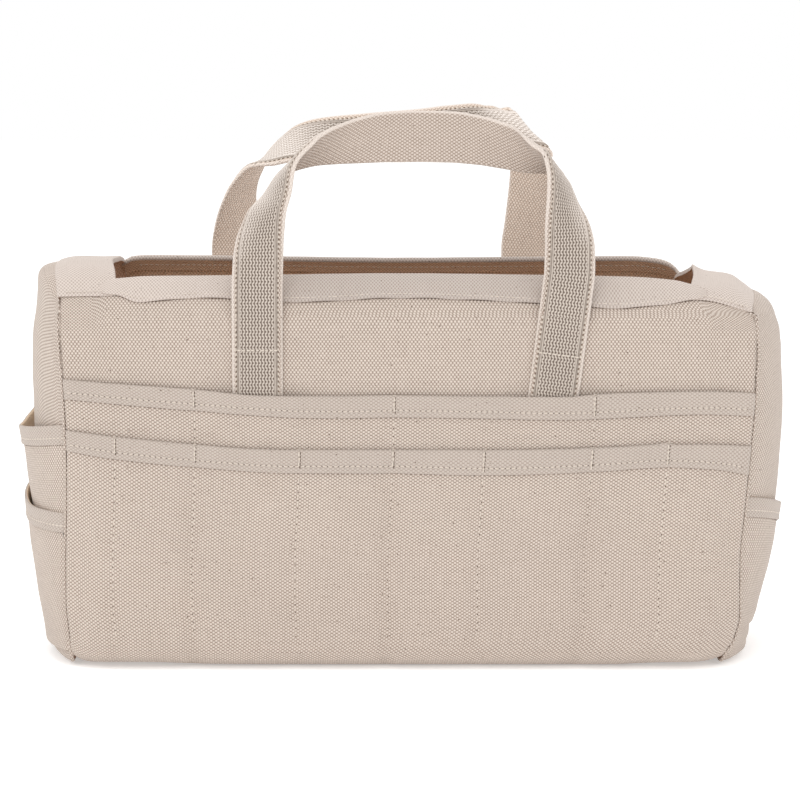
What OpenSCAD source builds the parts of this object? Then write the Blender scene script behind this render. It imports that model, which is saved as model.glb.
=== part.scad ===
// Canvas work bag: a slot opening at the top, outside pockets on all four sides and two strap handles.
// Frame: +Z is up, +X runs along the bag's length, the front faces -Y, and the origin is the base's centre.

/* [Bag] */
// Distance of the left end seam from the centre, at the base
left_base_x = 213; // [200:1:230]
// Distance of the left end seam from the centre, at the rim
left_top_x = 219; // [205:1:235]
// Distance of the right end seam from the centre, at the base
right_base_x = 208; // [195:1:230]
// Distance of the right end seam from the centre, at the rim
right_top_x = 221; // [205:1:235]
// Half of the depth, to the outside of the front wall
wall_y = 83; // [75:1:95]
// Height at which the walls start to curve inwards
shoulder_z = 214; // [200:1:225]
// Height of the crest of the end caps
crest_z = 259; // [255:1:265]
// Thickness of one layer of canvas
canvas_t = 1.2; // [0.8:0.1:1.6]

/* [Opening] */
// Left end of the opening
opening_left_x = -184; // [-195:1:-170]
// Right end of the opening
opening_right_x = 181; // [170:1:195]

/* [End panels] */
// How far the left end panel stands out at its middle
left_bulge = 27; // [10:1:32]
// How far the right end panel stands out at its middle
right_bulge = 29; // [10:1:32]
// Height of the left upper pocket's mouth
left_upper_mouth_z = 157; // [140:1:170]
// Height of the left lower pocket's mouth
left_lower_mouth_z = 107; // [95:1:120]
// Height of the right pocket's mouth
right_mouth_z = 112; // [100:1:130]

/* [Pockets] */
// Height of the upper pockets' mouth
upper_mouth_z = 177; // [170:1:190]
// Height of the lower pockets' mouth
lower_mouth_z = 144; // [130:1:155]
// Room inside a pocket, from front to back
pocket_gap = 5; // [4.5:0.5:8]
// Depth of a folded hem
hem_h = 13; // [8:1:18]
// How far a folded hem stands proud of its panel
hem_t = 1; // [0.6:0.2:1.6]

/* [Handles] */
// Width of the folded canvas strap
strap_w = 32; // [28:1:38]
// Thickness of the folded canvas strap
strap_t = 2.4; // [1.6:0.2:3]
// Width of the webbing that faces the strap
webbing_w = 25.4; // [20:0.2:27]
// Thickness of the webbing
webbing_t = 1.6; // [1:0.2:2]
// Height at which the straps are sewn down for the last time
sewn_z = 205; // [198:1:210]
// Height of the top of the short leg, where the handle bends inwards
bend_z = 241; // [235:1:250]

/* [Hidden] */

canvas_colour = [0.80, 0.74, 0.69];
trim_colour = [0.84, 0.79, 0.74];
webbing_colour = [0.73, 0.67, 0.62];
thread_colour = [0.87, 0.82, 0.76];

// The wall's section: a round bottom corner, an upright wall and a shoulder that curves in to the rim
corner_r = 12;
shoulder_r = 39.7;
shoulder_y = wall_y - shoulder_r;
rim_angle = 62;
rim_z = shoulder_z + shoulder_r * sin(rim_angle);

// The end caps' section: one arc that meets the shoulder at cap_y, cap_z
cap_angle = 36.3;
cap_y = shoulder_y + shoulder_r * cos(cap_angle);
cap_z = shoulder_z + shoulder_r * sin(cap_angle);
cap_r = (cap_y * cap_y + (crest_z - cap_z) * (crest_z - cap_z)) / (2 * (crest_z - cap_z));
cap_centre_z = crest_z - cap_r;
seam_clear = 1.1;

// Pocket layers, from the wall outwards, all as distances from the middle plane
pocket_base_z = 14;
upper_in_y = wall_y + pocket_gap;
upper_out_y = upper_in_y + canvas_t;
lower_in_y = upper_out_y + pocket_gap;
lower_out_y = lower_in_y + canvas_t;
upper_dividers = [-135, -10.6, 114];
lower_dividers = [-185, -135, -69.4, -10.6, 46.3, 114, 161.4];
divider_w = 1.2;
roll_centre_y = 74;
roll_end_y = 77;
tack_w = 1.6;
tack_t = 0.6;
tack_drop = 1;

// Straps: their lower end, and the play between the parts of one strap
strap_end_z = 161;
strap_play = 1;
leg_top_z = bend_z - strap_play;
arch_start_z = bend_z + strap_play;
strap_in_y = wall_y;
strap_out_y = strap_in_y + strap_t;
webbing_out_y = strap_out_y + webbing_t;

// Each strap: its middle at the lower end and at the start of the arch
front_left_strap = [-93.4, -93.4];
front_right_strap = [95.5, 104.5];
back_left_strap = [-117, -117];
back_right_strap = [82, 82];

// The handles' arches: rise above arch_z, then how square the left and the right shoulder are, then lean
arch_z = 249;
front_arch = [90, 2.6, 3.4, 0];
back_arch = [91, 2.4, 3.4, 4];
arch_step = 4;
twist_start = 6;
twist_end = 75;

function seam_x(side, z) = side < 0
    ? -(left_base_x + (left_top_x - left_base_x) * z / rim_z)
    : right_base_x + (right_top_x - right_base_x) * z / rim_z;

// The front outline between two heights, drawn in from the end seams by inset
function outline(low_z, high_z, inset = 0) = [
    [seam_x(-1, low_z) + inset, low_z],
    [seam_x(1, low_z) - inset, low_z],
    [seam_x(1, high_z) - inset, high_z],
    [seam_x(-1, high_z) + inset, high_z]
];

// A flat shape drawn in X and Z, made solid from in_y to out_y on the front side
module front_plate(points, in_y, out_y)
    translate([0, -in_y, 0]) rotate([90, 0, 0]) linear_extrude(out_y - in_y) polygon(points);

// A section drawn in Y and Z, made solid along the whole length and trimmed to the end seams
module along_length(points, from_x = -left_top_x - 2, to_x = right_top_x + 2)
    intersection() {
        translate([from_x, 0, 0]) rotate([90, 0, 90]) linear_extrude(to_x - from_x) polygon(points);
        translate([0, 2 * wall_y, 0]) rotate([90, 0, 0]) linear_extrude(4 * wall_y) polygon(outline(0, crest_z + 5));
    }

function arc(centre, radius, from, to, steps) = [
    for (i = [0 : steps])
        let (a = from + (to - from) * i / steps)
        [centre[0] + radius * cos(a), centre[1] + radius * sin(a)]
];

// The wall's section from the rim to the bottom's middle, depth into the cloth from its outside
function wall_half(depth) = concat(
    arc([shoulder_y, shoulder_z], shoulder_r - depth, rim_angle, 0, 12),
    arc([wall_y - corner_r, corner_r], corner_r - depth, 0, -90, 8)
);
function mirrored(points) = [for (i = [len(points) - 1 : -1 : 0]) [-points[i][0], points[i][1]]];
function reversed(points) = [for (i = [len(points) - 1 : -1 : 0]) points[i]];
function wall_path(depth) = concat(wall_half(depth), mirrored(wall_half(depth)));

// One piece of canvas: front, bottom and back, cut down at both ends for the caps
module body_wrap() color(canvas_colour) difference() {
    along_length(concat(wall_path(0), reversed(wall_path(canvas_t))));
    for (span = [[-300, opening_left_x], [opening_right_x, 300]])
        translate([span[0], -wall_y, cap_z - seam_clear])
            cube([span[1] - span[0], 2 * wall_y, crest_z]);
}

// A cap bridges the front and the back walls over one end of the opening
module top_cap(from_x, to_x) color(trim_colour) {
    half_angle = asin(cap_y / cap_r);
    along_length(concat(
        arc([0, cap_centre_z], cap_r, 90 - half_angle, 90 + half_angle, 24),
        arc([0, cap_centre_z], cap_r - canvas_t, 90 + half_angle, 90 - half_angle, 24)
    ), from_x, to_x);
}

// The rim band is folded over the wall's raw edge
module rim_band() color(trim_colour) {
    band_low = 35;
    fold_out = 65;
    fold_in = 62.5;
    lip_low = 46;
    play = 0.4;
    lift = 0.1;
    along_length(concat(
        arc([-shoulder_y, shoulder_z], shoulder_r + canvas_t, 180 - band_low, 180 - fold_out, 8),
        arc([-shoulder_y, shoulder_z], shoulder_r - 2 * canvas_t, 180 - fold_out, 180 - lip_low, 6),
        arc([-shoulder_y, shoulder_z], shoulder_r - canvas_t - lift, 180 - lip_low, 180 - fold_in, 6),
        arc([-shoulder_y, shoulder_z], shoulder_r + lift, 180 - fold_in, 180 - band_low, 8)
    ), opening_left_x + play, opening_right_x - play);
}

// The parts that close a pocket panel against what lies behind it: sides, bottom and dividers
module pocket_closure(mouth_z, in_y, out_y, dividers) {
    edge = 0.05;
    side_w = canvas_t + edge;
    difference() {
        front_plate(outline(pocket_base_z + edge, mouth_z - edge, edge), in_y, out_y);
        front_plate(outline(pocket_base_z + side_w, mouth_z + side_w, side_w), in_y - 1, out_y + 1);
    }
    for (x = dividers)
        translate([x - divider_w / 2, -out_y, pocket_base_z])
            cube([divider_w, out_y - in_y, mouth_z - pocket_base_z - edge]);
}

// A pocket panel's section from the top of its mouth down to the foot of its hem
function hem(in_y, out_y, mouth_z) = [
    [-in_y, mouth_z],
    [-out_y - hem_t, mouth_z],
    [-out_y - hem_t, mouth_z - hem_h],
    [-out_y, mouth_z - hem_h]
];

module upper_pocket() color(canvas_colour) {
    foot = [[-upper_out_y, pocket_base_z], [-upper_in_y, pocket_base_z]];
    along_length(concat(hem(upper_in_y, upper_out_y, upper_mouth_z), foot));
    pocket_closure(upper_mouth_z, wall_y, upper_in_y, upper_dividers);
}

// The lower pocket panel also rolls under the bottom corner
module lower_pocket() {
    roll_w = lower_out_y - roll_centre_y;
    roll_end = acos((roll_end_y - roll_centre_y) / roll_w);
    function roll(depth, from, to) = [
        for (i = [0 : 10])
            let (a = from + (to - from) * i / 10)
            [-roll_centre_y - (roll_w - depth) * cos(a), pocket_base_z - (pocket_base_z - depth) * sin(a)]
    ];
    color(canvas_colour) {
        along_length(concat(
            hem(lower_in_y, lower_out_y, lower_mouth_z),
            roll(0, 0, roll_end),
            roll(canvas_t, roll_end, 0)
        ));
        pocket_closure(lower_mouth_z, upper_out_y, lower_in_y, lower_dividers);
    }
}

module tack(x, face_y, mouth_z)
    translate([x - tack_w / 2, -face_y - tack_t, mouth_z - hem_h])
        cube([tack_w, tack_t, hem_h - tack_drop]);
module bar_tacks() color(thread_colour) {
    for (x = upper_dividers)
        tack(x, upper_out_y + hem_t, upper_mouth_z);
    for (x = lower_dividers)
        tack(x, lower_out_y + hem_t, lower_mouth_z);
}

// The height of an end panel's top edge over its depth
function panel_top(y) = abs(y) <= cap_y
    ? cap_centre_z + sqrt(cap_r * cap_r - y * y)
    : shoulder_z + sqrt(max(0, shoulder_r * shoulder_r - pow(abs(y) - shoulder_y, 2)));
function panel_base(y) = abs(y) <= wall_y - corner_r
    ? 0.6
    : corner_r - sqrt(max(0, corner_r * corner_r - pow(abs(y) - wall_y + corner_r, 2))) + 0.6;

// How far an end panel stands out past its seam, from its place across (u) and up (v), both -1 to 1
function panel_out(side, u, v) =
    (side < 0 ? left_bulge : right_bulge) * (1 - pow(abs(u), 2.5)) * (1 - pow(abs(v), 12));

// A point on an end panel's outer face at depth y and height z, moved out by extra
function panel_point(side, y, z, extra) =
    let (
        low = panel_base(y),
        high = panel_top(y),
        v = 2 * (z - low) / max(1, high - low) - 1
    )
    [seam_x(side, z) + side * (canvas_t + panel_out(side, y / wall_y, v) + extra), y, z];

// A sheet of cloth between an outer and an inner grid of points, both listed row by row
module sheet(outer, inner, flip) {
    rows = len(outer);
    cols = len(outer[0]);
    count = rows * cols;
    points = concat([for (row = outer) each row], [for (row = inner) each row]);
    function at(r, c) = r * cols + c;
    function quad(a, b, c, d) = flip ? [[a, c, b], [a, d, c]] : [[a, b, c], [a, c, d]];
    faces = concat(
        [for (r = [0 : rows - 2], c = [0 : cols - 2])
            each quad(at(r, c), at(r + 1, c), at(r + 1, c + 1), at(r, c + 1))],
        [for (r = [0 : rows - 2], c = [0 : cols - 2])
            each quad(count + at(r, c), count + at(r, c + 1), count + at(r + 1, c + 1), count + at(r + 1, c))],
        [for (c = [0 : cols - 2])
            each quad(at(0, c), at(0, c + 1), count + at(0, c + 1), count + at(0, c))],
        [for (c = [0 : cols - 2])
            each quad(at(rows - 1, c + 1), at(rows - 1, c), count + at(rows - 1, c), count + at(rows - 1, c + 1))],
        [for (r = [0 : rows - 2])
            each quad(at(r + 1, 0), at(r, 0), count + at(r, 0), count + at(r + 1, 0))],
        [for (r = [0 : rows - 2])
            each quad(at(r, cols - 1), at(r + 1, cols - 1), count + at(r + 1, cols - 1), count + at(r, cols - 1))]
    );
    polyhedron(points, faces, convexity = 6);
}

panel_cols = 18;
panel_rows = 14;
module end_panel(side) {
    // Rows crowd towards the top and the bottom edges, where the panel turns in
    function height(y, r) =
        let (low = panel_base(y), high = panel_top(y))
        low + (high - low) * (1 - cos(180 * r / panel_rows)) / 2;
    function across(c) = wall_y * sin(90 * (2 * c / panel_cols - 1));
    function grid(depth) = [
        for (r = [0 : panel_rows])
            [for (c = [0 : panel_cols])
                panel_point(side, across(c), height(across(c), r), -depth)]
    ];
    color(canvas_colour) sheet(grid(0), grid(canvas_t), side < 0);
}

// An end pocket follows the end panel and stands off it: by edge_off at its sides, and by more at its middle
module end_pocket(side, base_z, mouth_z, edge_off, base_off, mouth_off, flare) {
    rows = 8;
    half_w = wall_y - 1;
    function off(u, t) = edge_off + (base_off + (mouth_off - base_off) * pow(t, flare)) * (1 - pow(abs(u), 3));
    function grid(depth) = [
        for (r = [0 : rows])
            [for (c = [0 : panel_cols])
                let (
                    u = sin(90 * (2 * c / panel_cols - 1)),
                    t = r / rows,
                    z = base_z + (mouth_z - base_z) * t
                )
                panel_point(side, half_w * u, z, off(u, t) + canvas_t - depth)]
    ];
    color(canvas_colour) sheet(grid(0), grid(canvas_t), side < 0);
}

// One strap's middle at height z, on the straight line from its lower end to the start of the arch
function strap_x(strap, z) = strap[0] + (strap[1] - strap[0]) * (z - strap_end_z) / (arch_z - strap_end_z);
module strap_part(strap, width, low_z, high_z, in_y, out_y) {
    low_x = strap_x(strap, low_z);
    high_x = strap_x(strap, high_z);
    front_plate([
        [low_x - width / 2, low_z],
        [low_x + width / 2, low_z],
        [high_x + width / 2, high_z],
        [high_x - width / 2, high_z]
    ], in_y, out_y);
}
module strap_end(strap) color(canvas_colour)
    strap_part(strap, strap_w, strap_end_z, sewn_z, strap_in_y, strap_out_y);
module webbing_end(strap) color(webbing_colour)
    strap_part(strap, webbing_w, strap_end_z, sewn_z, strap_out_y, webbing_out_y);
module strap_leg(strap) color(canvas_colour)
    strap_part(strap, strap_w, sewn_z + strap_play, leg_top_z, strap_in_y, strap_out_y);
module webbing_leg(strap) color(webbing_colour)
    strap_part(strap, webbing_w, sewn_z + strap_play, leg_top_z, strap_out_y, webbing_out_y);

// The arch runs up from the left leg, over, and down to the right leg, as a squared-off half ellipse
function root(value, power) = sign(value) * pow(abs(value), 2 / power);
function arch_point(left, right, shape, a) =
    let (
        power = a < 90 ? shape[1] : shape[2],
        middle = (left[1] + right[1]) / 2,
        reach = (right[1] - left[1]) / 2,
        x = -root(cos(a), power)
    )
    [middle + reach * x, arch_z + (shape[0] + shape[3] * x) * root(sin(a), power)];
function arch_route(left, right, shape) = concat(
    [[strap_x(left, arch_start_z), arch_start_z]],
    [for (a = [arch_step / 2 : arch_step : 180 - arch_step / 2]) arch_point(left, right, shape, a)],
    [[strap_x(right, arch_start_z), arch_start_z]]
);
function smooth(t) = let (s = min(1, max(0, t))) s * s * (3 - 2 * s);

// The strap turns over between each leg and the top, so that its inner face shows there
function arch_twist(i, count) =
    let (a = 180 * i / (count - 1))
    180 * smooth((min(a, 180 - a) - twist_start) / (twist_end - twist_start));

// A section swept along the route; its corners are given across the strap and outwards from its middle
module arch(left, right, shape, corners) {
    size = len(corners);
    route = arch_route(left, right, shape);
    count = len(route);
    middle_y = -(strap_in_y + webbing_out_y) / 2;
    function tangent(i) =
        let (d = route[min(count - 1, i + 1)] - route[max(0, i - 1)])
        d / norm(d);
    function ring(i) =
        let (
            t = tangent(i),
            inward = [t[1], 0, -t[0]],
            outward = [0, -1, 0],
            twist = arch_twist(i, count),
            across = cos(twist) * inward + sin(twist) * outward,
            face = cos(twist) * outward - sin(twist) * inward,
            middle = [route[i][0], middle_y, route[i][1]]
        )
        [for (corner = corners) middle + across * corner[0] + face * corner[1]];
    points = [for (i = [0 : count - 1]) each ring(i)];

    // The inner side's diagonals run as those of the face that it lies on, so the two meet with no overlap
    sides = [for (i = [0 : count - 2], k = [0 : size - 1])
        let (a = size * i + k, b = size * i + (k + 1) % size)
        each k == 0
            ? [[a, b, a + size], [b, b + size, a + size]]
            : [[a, b, b + size], [a, b + size, a + size]]];
    start_cap = [for (k = [size - 1 : -1 : 0]) k];
    end_cap = [for (k = [0 : size - 1]) size * (count - 1) + k];
    polyhedron(points, concat(sides, [start_cap, end_cap]), convexity = 6);
}
half_t = (strap_t + webbing_t) / 2;
strap_face = strap_t - half_t;
module handle_strap(left, right, shape) color(canvas_colour) arch(left, right, shape, [
    [-strap_w / 2, -half_t],
    [strap_w / 2, -half_t],
    [strap_w / 2, strap_face],
    [webbing_w / 2, strap_face],
    [-webbing_w / 2, strap_face],
    [-strap_w / 2, strap_face]
]);
module handle_webbing(left, right, shape) color(webbing_colour) arch(left, right, shape, [
    [-webbing_w / 2, strap_face],
    [webbing_w / 2, strap_face],
    [webbing_w / 2, half_t],
    [-webbing_w / 2, half_t]
]);

module back() mirror([0, 1, 0]) children();

body_wrap();
end_panel(-1);  // left_end_panel
end_panel(1);  // right_end_panel
top_cap(-left_top_x - 2, opening_left_x);  // left_top_cap
top_cap(opening_right_x, right_top_x + 2);  // right_top_cap
rim_band();  // front_rim_band
back() rim_band();  // back_rim_band
upper_pocket();  // front_upper_pocket
lower_pocket();  // front_lower_pocket
back() upper_pocket();  // back_upper_pocket
back() lower_pocket();  // back_lower_pocket
end_pocket(-1, 30, left_upper_mouth_z, 0.2, 0.6, 10, 2.2);  // left_end_upper_pocket
end_pocket(-1, 16, left_lower_mouth_z, 1.7, 1.5, 10, 0.8);  // left_end_lower_pocket
end_pocket(1, 36, right_mouth_z, 0.2, 0.6, 8, 0.8);  // right_end_pocket
bar_tacks();  // front_bar_tacks
back() bar_tacks();  // back_bar_tacks
strap_end(front_left_strap);  // front_left_strap_end
strap_end(front_right_strap);  // front_right_strap_end
back() strap_end(back_left_strap);  // back_left_strap_end
back() strap_end(back_right_strap);  // back_right_strap_end
webbing_end(front_left_strap);  // front_left_webbing_end
webbing_end(front_right_strap);  // front_right_webbing_end
back() webbing_end(back_left_strap);  // back_left_webbing_end
back() webbing_end(back_right_strap);  // back_right_webbing_end
strap_leg(front_left_strap);  // front_left_strap_leg
strap_leg(front_right_strap);  // front_right_strap_leg
back() strap_leg(back_left_strap);  // back_left_strap_leg
back() strap_leg(back_right_strap);  // back_right_strap_leg
webbing_leg(front_left_strap);  // front_left_webbing_leg
webbing_leg(front_right_strap);  // front_right_webbing_leg
back() webbing_leg(back_left_strap);  // back_left_webbing_leg
back() webbing_leg(back_right_strap);  // back_right_webbing_leg
handle_strap(front_left_strap, front_right_strap, front_arch);  // front_handle_strap
handle_webbing(front_left_strap, front_right_strap, front_arch);  // front_handle_webbing
back() handle_strap(back_left_strap, back_right_strap, back_arch);  // back_handle_strap
back() handle_webbing(back_left_strap, back_right_strap, back_arch);  // back_handle_webbing
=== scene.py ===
"""Canvas knitting bag: cloth panels, hems, pockets, straps and sewing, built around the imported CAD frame.

Lengths are in millimetres until a mesh is made. The frame is the CAD's: +X along the bag, the front faces -Y, +Z up.
"""

import math

import bpy
import numpy as np
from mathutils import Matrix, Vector


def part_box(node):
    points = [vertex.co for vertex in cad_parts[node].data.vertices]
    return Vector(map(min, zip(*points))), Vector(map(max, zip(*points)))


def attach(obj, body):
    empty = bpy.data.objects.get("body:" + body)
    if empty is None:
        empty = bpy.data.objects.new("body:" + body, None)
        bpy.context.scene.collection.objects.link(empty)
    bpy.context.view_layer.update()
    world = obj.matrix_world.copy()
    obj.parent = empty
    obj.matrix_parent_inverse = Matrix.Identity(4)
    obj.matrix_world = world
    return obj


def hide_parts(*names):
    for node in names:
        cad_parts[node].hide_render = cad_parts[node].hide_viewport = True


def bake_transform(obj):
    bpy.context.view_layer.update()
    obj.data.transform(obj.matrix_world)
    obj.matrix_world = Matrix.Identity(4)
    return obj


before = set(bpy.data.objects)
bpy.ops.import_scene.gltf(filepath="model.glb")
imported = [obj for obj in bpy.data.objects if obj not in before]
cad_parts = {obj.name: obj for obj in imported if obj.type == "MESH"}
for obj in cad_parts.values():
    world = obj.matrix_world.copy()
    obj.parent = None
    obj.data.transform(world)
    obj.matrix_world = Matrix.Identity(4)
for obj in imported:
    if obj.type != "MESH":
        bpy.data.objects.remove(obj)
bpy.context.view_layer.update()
MM = 0.001
FRONT, BACK = -1, 1
LEFT, RIGHT = -1, 1
FACES = {"front": FRONT, "back": BACK}
ENDS = {"left": LEFT, "right": RIGHT}


# ---------------------------------------------------------------- sizes from the frame
def box_mm(node):
    """A CAD node's lowest and highest corners, in millimetres."""
    low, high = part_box(node)
    return np.array(low) / MM, np.array(high) / MM


CANVAS_T = 1.2
HEM_T = 1.0
STRAP_T, WEBBING_T = 2.4, 1.6
STRAP_FEET = {FRONT: (-93.4, 92.0), BACK: (-117.3, 83.0)}
wrap_low, wrap_high = box_mm("body_wrap")
wall_y = wrap_high[1]
rim_z = wrap_high[2]
upper_low, upper_high = box_mm("front_upper_pocket")
lower_low, lower_high = box_mm("front_lower_pocket")
upper_in_y, lower_in_y = (-low[1] - HEM_T - CANVAS_T for low in (upper_low, lower_low))
opening_left = box_mm("left_top_cap")[1][0]
opening_right = box_mm("right_top_cap")[0][0]

# The wall's section: a round bottom corner, an upright and a shoulder arc that ends at the rim, under its fold
CORNER_R = 12.0
SHOULDER_R = 39.7
SHOULDER_Z = 214.0
RIM_ANGLE = 62.0
RIM_SINE = math.sin(math.radians(RIM_ANGLE))
RIM_FOLD = 2.2
shoulder_y = wall_y - SHOULDER_R
UPPER_DIVIDERS = (-135.0, -10.6, 114.0)
LOWER_DIVIDERS = (-185.0, -135.0, -69.4, -10.6, 46.3, 114.0, 161.4)
POCKET_BASE_Z = 14.0
SEAM_FOOT_Z, SEAM_TOP_Z = 18.0, 226.0


# ---------------------------------------------------------------- small maths
def line(*points):
    """A smooth line through a few (place, value) points, flat beyond its ends."""
    xs, ys = np.array(points, float).T
    steps = np.diff(xs)
    rises = np.diff(ys) / steps
    slopes = np.zeros(len(xs))
    slopes[0], slopes[-1] = rises[0], rises[-1]
    for i in range(1, len(xs) - 1):
        if rises[i - 1] * rises[i] > 0:
            slopes[i] = 2 * rises[i - 1] * rises[i] / (rises[i - 1] + rises[i])

    def value(x):
        x = np.clip(np.asarray(x, float), xs[0], xs[-1])
        i = np.clip(np.searchsorted(xs, x) - 1, 0, len(xs) - 2)
        h = steps[i]
        t = (x - xs[i]) / h
        return (
            ys[i] * (1 + 2 * t) * (1 - t) ** 2
            + slopes[i] * h * t * (1 - t) ** 2
            + ys[i + 1] * t * t * (3 - 2 * t)
            - slopes[i + 1] * h * t * t * (1 - t)
        )

    return value


def smooth(x, low, high):
    """0 below low, 1 above high, and a smooth step between."""
    t = np.clip((np.asarray(x, float) - low) / (high - low), 0, 1)
    return t * t * (3 - 2 * t)


def bell(x, middle, width):
    return np.exp(-(((np.asarray(x, float) - middle) / width) ** 2))


def roll(distance, radius):
    """How far a rolled edge has turned in, at a distance from it."""
    d = np.clip(np.asarray(distance, float), 0, radius)
    return radius - np.sqrt(radius**2 - (radius - d) ** 2)


def wobble(a, b, size, seed):
    """Slow unevenness of cloth over a surface, at most about size: a few waves, the longest of them the highest."""
    rng = np.random.default_rng(seed)
    total = 0
    for wave in (170, 95, 58, 37):
        angle, phase = rng.uniform(0, math.pi), rng.uniform(0, math.tau)
        along = a * math.cos(angle) + b * math.sin(angle)
        total = total + np.sin(along * math.tau / wave + phase) * wave / 170
    return total * size / 1.6


def unit(v):
    return v / np.maximum(np.linalg.norm(v, axis=-1, keepdims=True), 1e-9)


def shares(length, step):
    """Places from 0 to 1 along a length, crowded at both ends."""
    near = np.array((0, 0.35, 0.8, 1.4, 2.2, 3.2, 4.6, 6.5, 9))
    middle = np.linspace(near[-1], length - near[-1], int(length / step))
    return np.concatenate([near[:-1], middle, length - near[:-1][::-1]]) / length


def running(steps):
    """Distances from the first of a line of points, given the steps between them."""
    return np.concatenate([[0], np.cumsum(steps)])


# ---------------------------------------------------------------- meshes
def add_object(name, data):
    thing = bpy.data.objects.new(name, data)
    bpy.context.scene.collection.objects.link(thing)
    return thing


def arc_lengths(points, axis):
    """Distance along one axis of a grid, averaged over the other, so that the weave isn't sheared."""
    return running(np.linalg.norm(np.diff(points, axis=axis), axis=2).mean(axis=1 - axis))


def new_piece(name, points, faces, uv, materials, face_material=None, sharp=48):
    """A mesh object from points and one texture place for each, all in millimetres; sharp is in degrees."""
    mesh = bpy.data.meshes.new(name)
    mesh.from_pydata((points * MM).tolist(), [], faces)
    layer = mesh.uv_layers.new(name="cloth")
    loops = np.zeros(len(mesh.loops), np.int32)
    mesh.loops.foreach_get("vertex_index", loops)
    layer.data.foreach_set("uv", (uv[loops] * MM).astype(np.float32).ravel())
    for material in materials:
        mesh.materials.append(material)
    if face_material is not None:
        mesh.polygons.foreach_set("material_index", np.array(face_material, np.int32))
    mesh.validate()
    mesh.shade_smooth()
    mesh.set_sharp_from_angle(angle=math.radians(sharp))
    return add_object(name, mesh)


def sheet(name, outer, inner, materials, band=None, inside=None):
    """Cloth between two grids of points, closed all round.

    band is the material of each strip along the second axis, and inside is the inner side's where it has its own.
    """
    rows, cols = outer.shape[:2]
    count = rows * cols
    at = np.arange(count).reshape(rows, cols)
    a, b = at[:-1, :-1].ravel(), at[1:, :-1].ravel()
    c, d = at[1:, 1:].ravel(), at[:-1, 1:].ravel()
    faces = [np.stack([a, b, c, d], 1), np.stack([a, d, c, b], 1) + count]
    for rim in (at[0], at[:, -1], at[-1, ::-1], at[::-1, 0]):
        faces.append(np.stack([rim[:-1], rim[1:], rim[1:] + count, rim[:-1] + count], 1))
    quads = np.concatenate(faces)
    band = band or [0] * (cols - 1)
    # Where a piece gives inside, its inner faces take that material, a painted warm shade or bounce light.
    inner_faces = band if inside is None else [inside] * (cols - 1)
    ends = [band, band[-1:] * (rows - 1), band[::-1], band[:1] * (rows - 1)]
    face_material = np.concatenate([band * (rows - 1), inner_faces * (rows - 1), *ends])
    uv = np.stack(np.meshgrid(arc_lengths(outer, 0), arc_lengths(outer, 1), indexing="ij"), -1).reshape(-1, 2)
    points = np.concatenate([outer.reshape(-1, 3), inner.reshape(-1, 3)])
    i = len(a) // 2
    normal = np.cross(points[b[i]] - points[a[i]], points[d[i]] - points[a[i]])
    if normal @ (points[a[i]] - points[a[i] + count]) < 0:
        quads = quads[:, ::-1]
    return new_piece(name, points, quads.tolist(), np.concatenate([uv, uv]), materials, face_material)


def tube_faces(first, count, size):
    """Faces of a closed tube: count rings of size points each, from the point numbered first."""
    last = first + (count - 1) * size
    faces = []
    for ring in range(first, last, size):
        for k in range(size):
            n = (k + 1) % size
            faces.append([ring + k, ring + size + k, ring + size + n, ring + n])
    return [*faces, list(range(first, first + size)), list(range(last, last + size))[::-1]]


def rings_piece(name, rings, material, across, uv_start=0.0):
    """A tube through closed rings of points; across gives the cloth's width at each point of a ring."""
    count, size = rings.shape[:2]
    uv = np.stack(np.meshgrid(across, uv_start + arc_lengths(rings, 0)), -1).reshape(-1, 2)
    return new_piece(name, rings.reshape(-1, 3), tube_faces(0, count, size), uv, [material], sharp=40)


class Sewing:
    """Collects short thread stitches, or dark dots of painted shade beside and between them, and makes one mesh of
    them.
    """

    SIDES = 6
    # A stitch's rings: place along it, width, and how far it has dived into the cloth
    RINGS = ((-0.5, 0.3, -1.1), (-0.36, 0.85, -0.275), (0.0, 1.0, 0.0), (0.36, 0.85, -0.275), (0.5, 0.3, -1.1))
    FLATNESS = 0.8

    def __init__(self):
        self.points = []
        self.faces = []

    def bead(self, centre, along, up, length, radius):
        """One stitch: a capsule whose ends dive into the cloth."""
        side = np.cross(along, up)
        self.faces += tube_faces(len(self.points), len(self.RINGS), self.SIDES)
        for place, width, drop in self.RINGS:
            middle = centre + along * place * length + up * radius * (0.35 + drop)
            for a in np.arange(self.SIDES) * math.tau / self.SIDES:
                offset = side * math.cos(a) + up * math.sin(a) * self.FLATNESS
                self.points.append(middle + offset * radius * width)

    def row(self, seam, pitch, length, radius=0.34, start=0.0, jitter=0.06, seed=1):
        """Stitches at an even pitch along a seam, which is a line of points and a normal for each."""
        points, normals = seam
        rng = np.random.default_rng(seed)
        along = running(np.linalg.norm(np.diff(points, axis=0), axis=1))

        def at(values, place):
            return np.array([np.interp(place, along, values[:, i]) for i in range(3)])

        for place in np.arange(start + pitch / 2, along[-1] - pitch / 2, pitch):
            direction = unit(at(points, place + length / 2) - at(points, place - length / 2))
            normal = unit(at(normals, place))
            normal = unit(normal - direction * (normal @ direction))
            shift = np.cross(direction, normal) * rng.normal(0, jitter)
            self.bead(at(points, place) + shift, direction, normal, length * rng.uniform(0.93, 1.05), radius)

    def piece(self, name, material):
        points = np.array(self.points)
        return new_piece(name, points, self.faces, points[:, [0, 2]], [material], sharp=60)


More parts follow.
